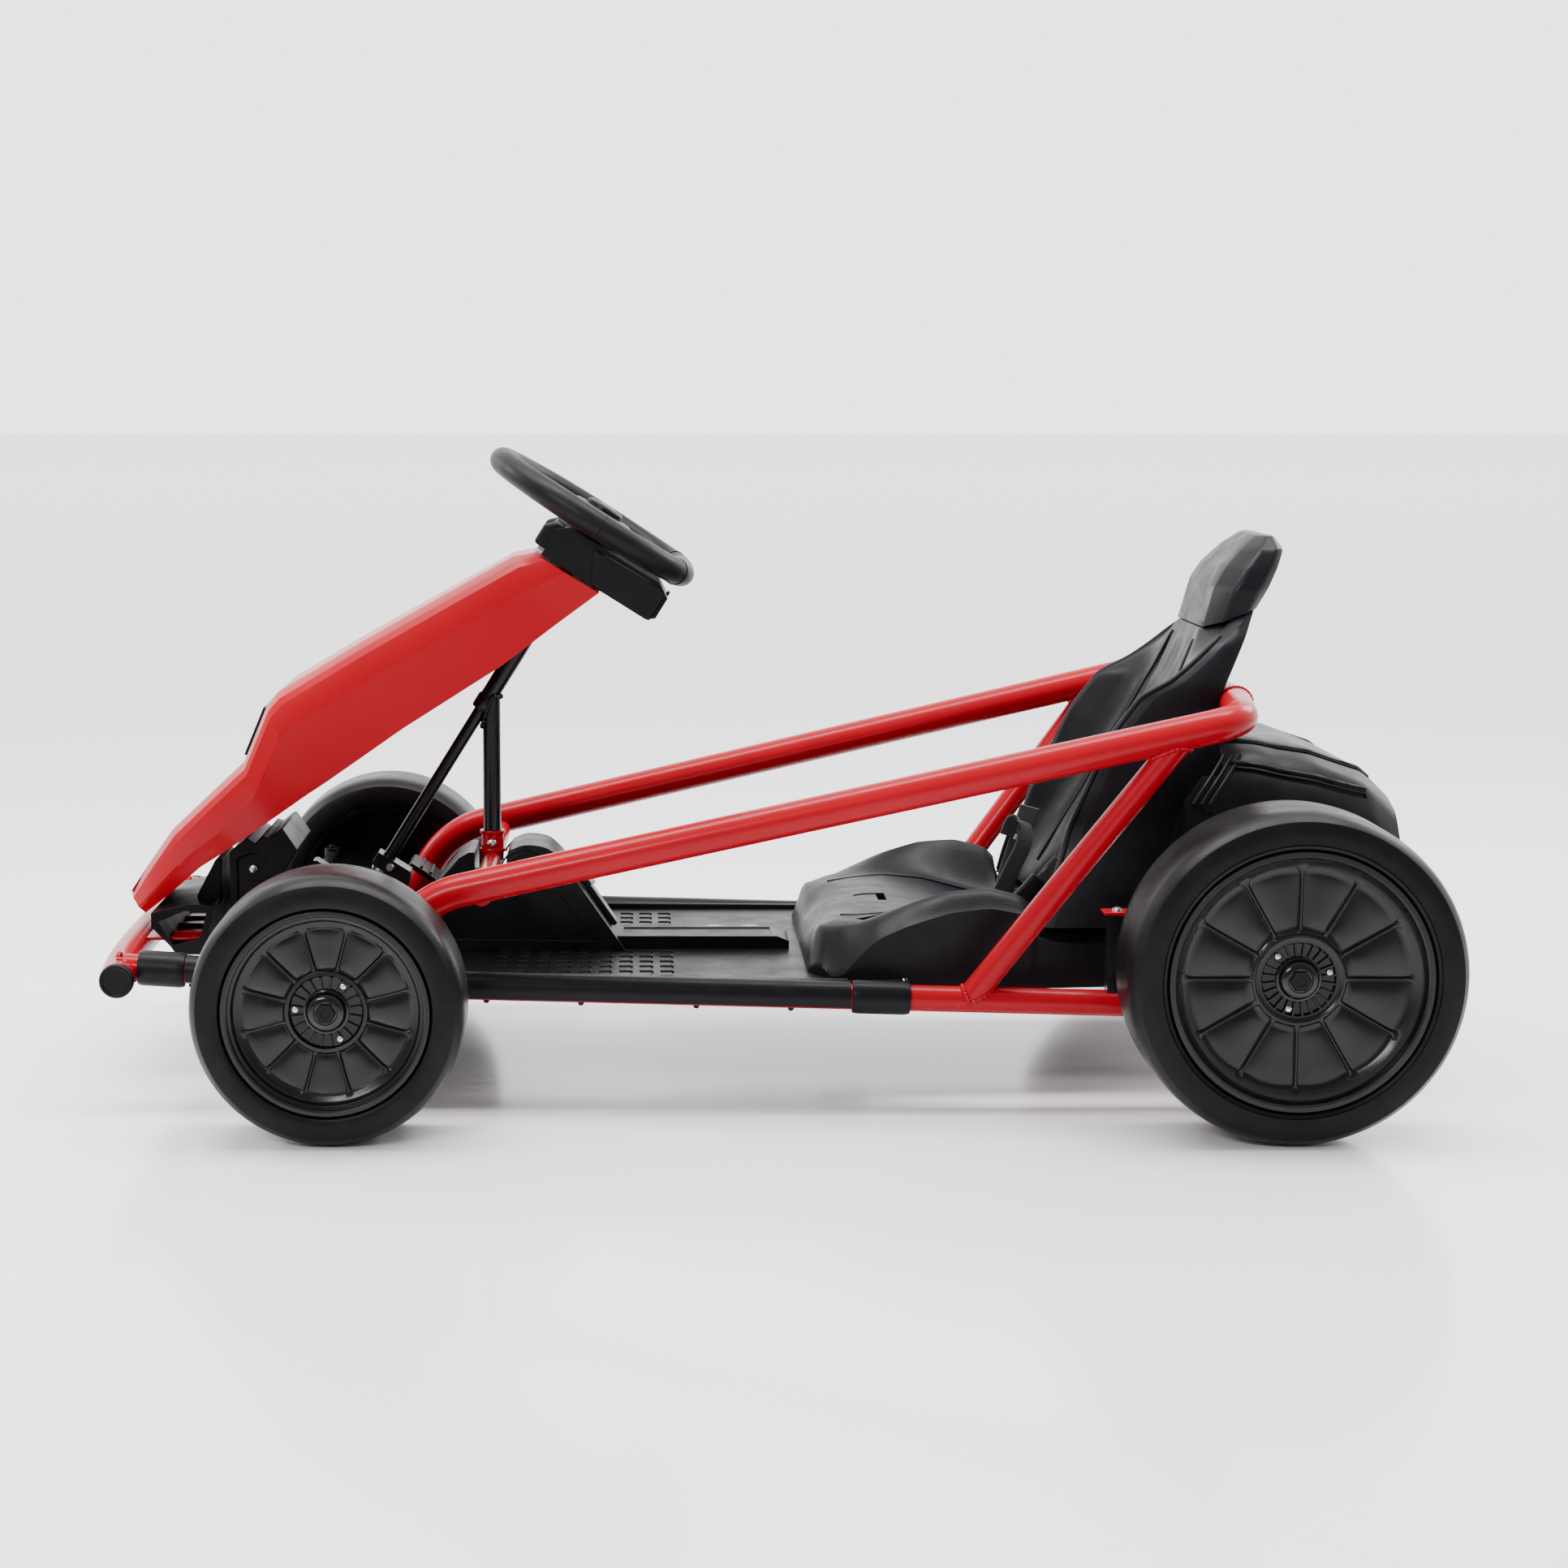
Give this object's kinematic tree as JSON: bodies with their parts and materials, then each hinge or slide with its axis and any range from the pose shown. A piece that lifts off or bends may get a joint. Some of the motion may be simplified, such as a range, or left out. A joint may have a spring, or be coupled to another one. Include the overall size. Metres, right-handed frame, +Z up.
{
  "type": "kart chassis",
  "caption": "Child's electric drift kart: tube frame, slotted floor, nose fairing, steering column, bucket seat, rear cover and dished wheels.",
  "frame": {"origin": "on the ground, under the middle of the bounding box", "axes": "-X is forwards, -Y is the driver's left, +Z is up"},
  "size_m": [1.2676, 0.725, 0.6258],
  "materials": {
    "frame_red": "glossy saturated red paint",
    "fairing_red": "glossy moulded red",
    "black_metal": "satin black paint",
    "black_plastic": "satin black, fine grain",
    "charcoal_plastic": "satin charcoal",
    "seat_plastic": "grained dark grey",
    "wheel_grip": "soft black grip",
    "belt_webbing": "woven black webbing",
    "rim_plastic": "semi-gloss charcoal",
    "tyre_compound": "satin dark grey, smooth",
    "lamp_lens": "pale lens in a dark surround",
    "steel": "turned steel",
    "cast_aluminium": "cast finned case"
  },
  "bodies": {
    "frame": {"lower_rail_left": "frame_red", "lower_rail_right": "frame_red", "upper_rail_left": "frame_red", "upper_rail_right": "frame_red", "strut_left": "frame_red", "strut_right": "frame_red", "rear_hoop": "frame_red", "rear_cross_tube": "frame_red", "column_cross_tube": "frame_red", "front_bumper_bar": "frame_red", "front_axle_beam": "black_metal", "axle_bracket_left": "black_metal", "axle_bracket_right": "black_metal", "floor_pan": "black_plastic", "column_post": "black_metal", "column_sleeve": "black_metal", "nose_bracket": "black_plastic", "steering_housing": "black_plastic", "fairing_support": "black_plastic", "rear_cover": "black_plastic", "dash_console": "black_plastic", "fairing_panel": "black_plastic", "bumper_cap_left": "black_plastic", "bumper_cap_right": "black_plastic", "rail_collar_left": "black_plastic", "rail_collar_right": "black_plastic", "front_collar_left": "black_plastic", "front_collar_right": "black_plastic", "nose_fairing": "fairing_red", "seat_base": "seat_plastic", "seat_back": "seat_plastic", "headrest": "seat_plastic", "lap_belt_left": "belt_webbing", "gearbox_left": "charcoal_plastic", "lap_belt_right": "belt_webbing", "gearbox_right": "charcoal_plastic", "tail_lamp": "lamp_lens", "battery": "charcoal_plastic", "motor_controller": "cast_aluminium", "rear_axle": "steel"},
    "steering": {"steering_wheel": "wheel_grip", "steering_shaft": "black_metal"},
    "horn": {"horn_button": "charcoal_plastic"},
    "knuckle_left": {"knuckle_left": "black_metal"},
    "knuckle_right": {"knuckle_right": "black_metal"},
    "tie_rod": {"tie_rod": "black_metal"},
    "pedal": {"accelerator_pedal": "black_plastic"},
    "switch": {"power_switch": "charcoal_plastic"},
    "wheel_front_left": {"tyre_front_left": "tyre_compound", "rim_front_left": "rim_plastic", "hub_cap_front_left": "charcoal_plastic"},
    "wheel_front_right": {"tyre_front_right": "tyre_compound", "rim_front_right": "rim_plastic", "hub_cap_front_right": "charcoal_plastic"},
    "wheel_rear_left": {"tyre_rear_left": "tyre_compound", "rim_rear_left": "rim_plastic", "hub_cap_rear_left": "charcoal_plastic"},
    "wheel_rear_right": {"tyre_rear_right": "tyre_compound", "rim_rear_right": "rim_plastic", "hub_cap_rear_right": "charcoal_plastic"}
  },
  "joints": [
    {"name": "steering_turn", "type": "hinge", "parent": "frame", "child": "steering", "pos_m": [-0.155, 0, 0.551], "axis": [0.5299, 0, 0.848], "range_deg": [-50, 50]},
    {"name": "horn_press", "type": "slide", "parent": "steering", "child": "horn", "axis": [0.5299, 0, 0.848], "range_m": [-0.002, 0], "stiffness_N_per_m": 400, "springref_m": 0.003},
    {"name": "knuckle_left_turn", "type": "hinge", "parent": "frame", "child": "knuckle_left", "pos_m": [-0.397, -0.245, 0.125], "axis": [0, 0, 1], "range_deg": [-18.5, 18.5]},
    {"name": "knuckle_right_turn", "type": "hinge", "parent": "frame", "child": "knuckle_right", "pos_m": [-0.397, 0.245, 0.125], "axis": [0, 0, 1], "range_deg": [-18.5, 18.5]},
    {"name": "tie_rod_swing", "type": "hinge", "parent": "knuckle_left", "child": "tie_rod", "pos_m": [-0.455, -0.245, 0.168], "axis": [0, 0, 1], "range_deg": [-18.5, 18.5]},
    {"name": "wheel_front_left_spin", "type": "hinge", "parent": "knuckle_left", "child": "wheel_front_left", "pos_m": [-0.397, -0.315, 0.125], "axis": [0, 1, 0], "continuous": true},
    {"name": "wheel_front_right_spin", "type": "hinge", "parent": "knuckle_right", "child": "wheel_front_right", "pos_m": [-0.397, 0.315, 0.125], "axis": [0, 1, 0], "continuous": true},
    {"name": "wheel_rear_left_spin", "type": "hinge", "parent": "frame", "child": "wheel_rear_left", "pos_m": [0.48, -0.311, 0.154], "axis": [0, 1, 0], "continuous": true},
    {"name": "wheel_rear_right_spin", "type": "hinge", "parent": "frame", "child": "wheel_rear_right", "pos_m": [0.48, 0.311, 0.154], "axis": [0, 1, 0], "continuous": true},
    {"name": "accelerator_press", "type": "hinge", "parent": "frame", "child": "pedal", "pos_m": [-0.29, 0.085, 0.126], "axis": [0, 1, 0], "range_deg": [-15, 0], "stiffness_Nm_per_rad": 0.5, "springref_deg": 22.92},
    {"name": "power_rock", "type": "hinge", "parent": "frame", "child": "switch", "pos_m": [-0.09574, 0, 0.47034], "axis": [0, 1, 0], "range_deg": [-8, 8]}
  ],
  "couplings": [
    {"joint": "knuckle_left_turn", "follows": "steering_turn", "ratio": 0.36},
    {"joint": "knuckle_right_turn", "follows": "steering_turn", "ratio": 0.36},
    {"joint": "tie_rod_swing", "follows": "steering_turn", "ratio": -0.36}
  ]
}
